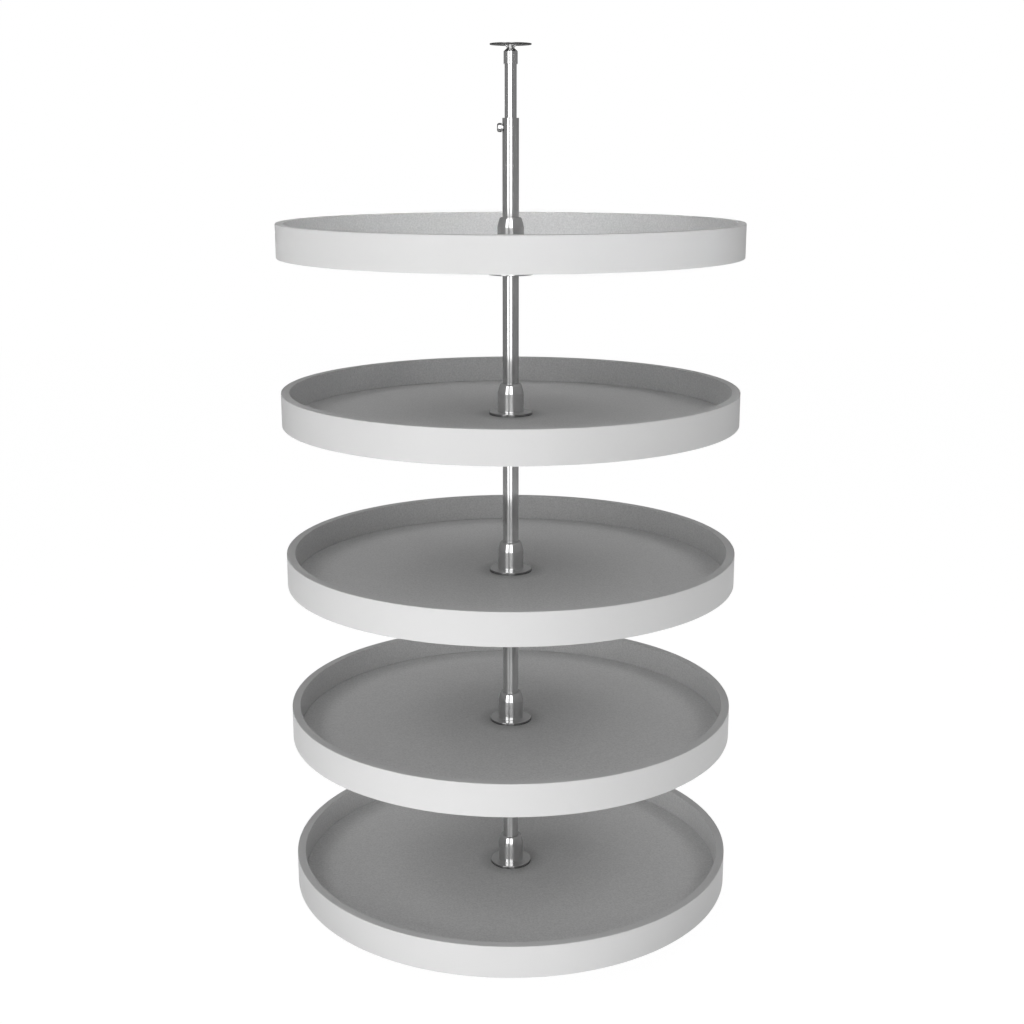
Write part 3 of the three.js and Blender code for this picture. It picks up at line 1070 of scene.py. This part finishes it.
# painted shade on the plate's side and lower face
bright = bright * (1 - PLATE_SHADE * on_plate)
chrome.surface(
    Base_Color=chrome.grey(bright * (1 - OUTLINE_SHADE * painted_outlines)),
    Normal=chrome.bump(lines, 0.002 * MM, 0.4),
)
print("chrome", len(chrome.tree.nodes), "nodes")

# %% [markdown]
# ## Steel
# The stop collars and their screws, the clamp nut and the foot pivot are plain zinc-bright steel: darker
# than chrome, softly blurred, with turning grooves that can be seen when the light rakes them. The grooves
# are rings round the axis, made by a wave on the radius and the height with some noise in it, because no
# lathe leaves them perfectly even.

# %% Make the steel
STEEL = 0.5
STEEL_ROUGHNESS = 0.3
GROOVE = 0.35 * MM
WANDER_SIZE = 6 * MM
CLOUD_SIZE = 12 * MM
SPOT_SIZE = 3 * MM

steel = Finish("larder_steel", Metallic=1.0)
place = steel.place()
x_part, y_part, z_part, from_axis = steel.parts(place)
wander = steel.noise(place, WANDER_SIZE, detail=2)
turns = (from_axis + z_part) * (math.tau / GROOVE) + 2.5 * wander
grooves = steel.add("Math", {"operation": "SINE"}, {0: turns}) * 0.5 + 0.5
cloud = steel.noise(place, CLOUD_SIZE, detail=5, roughness=0.6)
spots = steel.noise(place, SPOT_SIZE, detail=3).rise(0.62, 0.75)

steel.surface(
    Base_Color=steel.grey(STEEL + 0.12 * (cloud - 0.5) - 0.08 * spots + 0.03 * (grooves - 0.5)),
    Roughness=STEEL_ROUGHNESS + 0.15 * (cloud - 0.5) + 0.08 * spots,
    Normal=steel.bump(grooves, 0.01 * MM, 0.35),
)
print("steel", len(steel.tree.nodes), "nodes")

# %% [markdown]
# ## Nylon
# Bushes, washers and the foot plug are moulded or turned black nylon. It is matte with a soft sheen, has a
# very fine grain, and carries pale dust in patches.

# %% Make the nylon
NYLON = 0.03
NYLON_ROUGHNESS = 0.5
NYLON_GRAIN = 0.5 * MM
NYLON_DUST = 8 * MM

nylon = Finish("larder_nylon", IOR=1.53)
place = nylon.place()
grain = nylon.noise(place, NYLON_GRAIN, detail=3)
# here the mask marks only patches of pale dust on the nylon
dust_and_shade = nylon.noise(place, NYLON_DUST, detail=4).rise(0.5, 0.75)
nylon.surface(
    Base_Color=nylon.grey(NYLON + 0.012 * (grain - 0.5) + 0.02 * dust_and_shade),
    Roughness=NYLON_ROUGHNESS + 0.12 * (grain - 0.5) + 0.12 * dust_and_shade,
    Normal=nylon.bump(grain, 0.03 * MM, 0.4),
)
print("nylon", len(nylon.tree.nodes), "nodes")

# %% [markdown]
# ## Giving the pieces their finish
# The record names the finish of every node, so each piece takes the material of its slot.

# %% Assign the materials
finishes = {"tray_lacquer": lacquer, "chrome": chrome, "steel": steel, "nylon": nylon}
for node, piece in settled.items():
    piece.data.materials.clear()
    piece.data.materials.append(finishes[slot_of_node[node]].material)
print("materials", {slot: sum(1 for node in settled if slot_of_node[node] == slot) for slot in finishes})

# %% [markdown]
# ## Studio world
# The photograph's background is pure white. The world is white for the camera and for mirror-like and
# glassy rays. As light it is quieter: only a belt half-way up the sky shines, a little stronger behind the
# fitting than in front of it. Each tray shades the one below, so light from straight above would reach the
# top tray only, and level light would fill the insides of all of them. The belt gives the rims their pale
# tops and leaves the insides in shade.

# %% Light the world
BELT = (38, 58)  # degrees above the horizon
BELT_SOFT = 2  # degrees of softness on each side of its edges
BELT_FRONT = 0.65
BELT_BACK = 0.94


def height_of(degrees):
    """The height that a direction of this elevation reaches at a distance of 1."""
    return math.sin(math.radians(degrees))


def rays_that_see(shading):
    """1 for the camera's rays and for mirror-like and glassy ones, and 0 for the others."""
    rays = shading.add("LightPath", {}, {}, "Is Camera Ray")
    return rays.most(rays.output("Is Glossy Ray")).most(rays.output("Is Transmission Ray"))


world = bpy.data.worlds.new("studio")
bpy.context.scene.world = world
world.use_nodes = True
world.node_tree.nodes.clear()
sky = Shading(world.node_tree)
direction = sky.add("SeparateXYZ", {}, {0: sky.add("TexCoord", {}, {}, "Generated")})
upward = direction.output("Z")
behind = direction.output("Y").rise(-0.1, 0.1)
belt = upward.rise(height_of(BELT[0] - BELT_SOFT), height_of(BELT[0] + BELT_SOFT))
belt = belt - upward.rise(height_of(BELT[1] - BELT_SOFT), height_of(BELT[1] + BELT_SOFT))
seen = rays_that_see(sky)
glow = belt * (BELT_FRONT + (BELT_BACK - BELT_FRONT) * behind)
lit = sky.add("Background", {}, {"Color": (1, 1, 1, 1), "Strength": glow})
white = sky.add("Background", {}, {"Color": (1, 1, 1, 1), "Strength": 1.0})
backdrop = sky.add("MixShader", {}, {0: seen, 1: lit, 2: white})
sky.add("OutputWorld", {}, {"Surface": backdrop})
print("world", len(world.node_tree.nodes), "nodes")

# %% [markdown]
# ## Floor
# The fitting stands on a plain pale floor. Mixed into the floor's paint is a glow that only the camera and
# mirror-like or glassy rays see, so that the floor merges with the white backdrop and still keeps the soft
# shadow of the trays. For the light itself it is ordinary white paint.

# %% Make the floor
FLOOR_SIZE = 14.0
FLOOR_WHITE = 0.8
FLOOR_GLOW = 0.86
FLOOR_SHINE = 1.125

bpy.ops.object.select_all(action="DESELECT")
bpy.ops.mesh.primitive_plane_add(size=FLOOR_SIZE)
studio_floor = bpy.context.object
studio_floor.name = "studio_floor"


def stage_material(name):
    material = bpy.data.materials.new(name)
    material.use_nodes = True
    material.node_tree.nodes.clear()
    return material, Shading(material.node_tree)


floor_material, paint = stage_material("studio_floor")
seen = rays_that_see(paint)
matte = paint.add("BsdfDiffuse", {}, {"Color": (FLOOR_WHITE, FLOOR_WHITE, FLOOR_WHITE, 1)})
shine = paint.add("Emission", {}, {"Color": (1, 1, 1, 1), "Strength": FLOOR_SHINE})
painted = paint.add("MixShader", {}, {0: seen * FLOOR_GLOW, 1: matte, 2: shine})
paint.add("OutputMaterial", {}, {"Surface": painted})
studio_floor.data.materials.append(floor_material)
print("floor", FLOOR_SIZE, "m")

# %% [markdown]
# ## Lamps
# The fronts of the trays are light while their insides are dark, so most of the light comes from low down:
# a low softbox on the camera's left, one straight ahead of the fitting, and the floor in front of it. A
# weaker one stands above the left one. Two high softboxes at the sides round the trays off, a narrow one
# from above lights the inside of the top tray, and small ones brighten the ends of the walls. A grid on a
# softbox narrows its beam. None of the lamps is seen itself, neither by the camera nor in the chrome, which
# has its own cards.
#
# Azimuth 0 is the camera's side, and + is to its right.

# %% Place the lamps
OPEN = 180  # degrees: a softbox without a grid
LAMPS = {  # azimuth, distance, height, width, depth, height that it faces, beam in degrees, watts
    "low_left": (-38, 2.0, 0.45, 1.38, 0.9, 0.45, OPEN, 9.4),
    "middle_left": (-38, 2.0, 1.3, 1.38, 0.8, 1.3, OPEN, 1.7),
    "low_ahead": (1.4, 2.0, 0.45, 1.4, 0.9, 0.45, OPEN, 8.2),
    "high_left": (-80, 2.0, 2.15, 1.46, 0.9, 2.15, OPEN, 3.5),
    "high_right": (85, 2.0, 2.15, 1.87, 0.9, 2.15, OPEN, 4.4),
    "far_left": (-75, 1.6, 0.05, 0.8, 0.4, 0.7, 120, 0.3),
    "far_right": (75, 1.6, 0.05, 0.8, 0.4, 0.7, 120, 2.0),
    "wall_left": (-70, 1.8, 1.1, 0.5, 0.2, 1.1, 22, 0.09),
    "wall_right": (35, 1.8, 1.1, 0.5, 0.2, 1.1, 22, 0.12),
    "top": (0, 0.8, 2.3, 0.5, 0.3, 1.25, 34, 0.76),
}
BOUNCE = (6.0, 2.64, 28.0)  # width, depth, watts
BOUNCE_START = 0.36


def lamp(name, width, depth, beam, watts):
    light = bpy.data.lights.new(name, "AREA")
    light.shape = "RECTANGLE"
    light.size, light.size_y, light.energy = width, depth, watts
    light.spread = math.radians(beam)
    lamp_object = bpy.data.objects.new(name, light)
    bpy.context.collection.objects.link(lamp_object)
    lamp_object.visible_camera = lamp_object.visible_glossy = lamp_object.visible_transmission = False
    return lamp_object


for name, (azimuth, distance, height, width, depth, faces, beam, watts) in LAMPS.items():
    softbox = lamp(name, width, depth, beam, watts)
    angle = math.radians(azimuth)
    softbox.location = (distance * math.sin(angle), -distance * math.cos(angle), height)
    tilt = math.pi / 2 - math.atan2(height - faces, distance)
    softbox.rotation_euler = (tilt, 0, angle)
bounce = lamp("floor_bounce", *BOUNCE[:2], OPEN, BOUNCE[2])
bounce.location = (0, -BOUNCE_START - BOUNCE[1] / 2, 1 * MM)
bounce.rotation_euler = (math.pi, 0, 0)

# %% [markdown]
# ## Cards for the chrome
# Chrome shows the room, so a photographer builds a room for it. Curved cards stand round the fitting: two
# bright ones in front, with a narrow grey one between them that draws the fine dark line down the
# highlight, and grey ones on all other sides, which give the dark flanks. They end well above the fitting,
# where the white overhead light begins. The cards exist for mirror-like rays only, so they neither light
# nor shade anything.
#
# A card is a slice of a circle's edge, extruded upwards.

# %% Place the cards
CARD_DISTANCE = 3.0
CARD_LOW = -2.5
CARD_HIGH = 7.9
CARD_STEPS = 720  # sides of the whole circle
BRIGHT_CARD = 3.5
SIDE_CARD = 0.29
BACK_CARD = 0.25
CARDS = [  # from azimuth, to azimuth, brightness
    (-47.0, -22.5, BRIGHT_CARD),
    (-22.5, -10.5, SIDE_CARD),
    (-10.5, 18.0, BRIGHT_CARD),
    (18.0, 110.0, SIDE_CARD),
    (110.0, 250.0, BACK_CARD),
    (250.0, 313.0, SIDE_CARD),
]


def card(start, end, strength):
    bpy.ops.object.select_all(action="DESELECT")
    bpy.ops.mesh.primitive_circle_add(
        vertices=CARD_STEPS, radius=CARD_DISTANCE, location=(0, 0, CARD_LOW), rotation=(0, 0, -math.pi / 2)
    )
    bpy.ops.object.transform_apply(location=True, rotation=True)
    piece = bpy.context.object
    bpy.ops.object.mode_set(mode="EDIT")
    bpy.ops.mesh.select_all(action="DESELECT")
    mesh = bmesh.from_edit_mesh(piece.data)
    slack = 0.01  # degrees
    for vertex in mesh.verts:
        azimuth = math.degrees(math.atan2(vertex.co.x, -vertex.co.y))
        vertex.select_set((azimuth - start + slack) % 360 > end - start + 2 * slack)
    mesh.select_flush_mode()
    bmesh.update_edit_mesh(piece.data)
    bpy.ops.mesh.delete(type="VERT")
    bpy.ops.mesh.select_all(action="SELECT")
    bpy.ops.mesh.extrude_region_move(TRANSFORM_OT_translate={"value": (0, 0, CARD_HIGH - CARD_LOW)})
    bpy.ops.object.mode_set(mode="OBJECT")
    piece.name = f"card_{start:.0f}_{end:.0f}"
    piece.visible_camera = piece.visible_diffuse = piece.visible_transmission = False
    piece.visible_volume_scatter = piece.visible_shadow = False
    material, light = stage_material(piece.name)
    glowing = light.add("Emission", {}, {"Color": (1, 1, 1, 1), "Strength": strength})
    light.add("OutputMaterial", {}, {"Surface": glowing})
    piece.data.materials.append(material)
    return piece


cards = [card(*row) for row in CARDS]
print("cards", [(piece.name, len(piece.data.polygons)) for piece in cards])

# %% [markdown]
# ## Finish
# The view transform is Standard, so a colour is shown as it is written.

# %% Set the view transform
bpy.context.scene.view_settings.view_transform = "Standard"
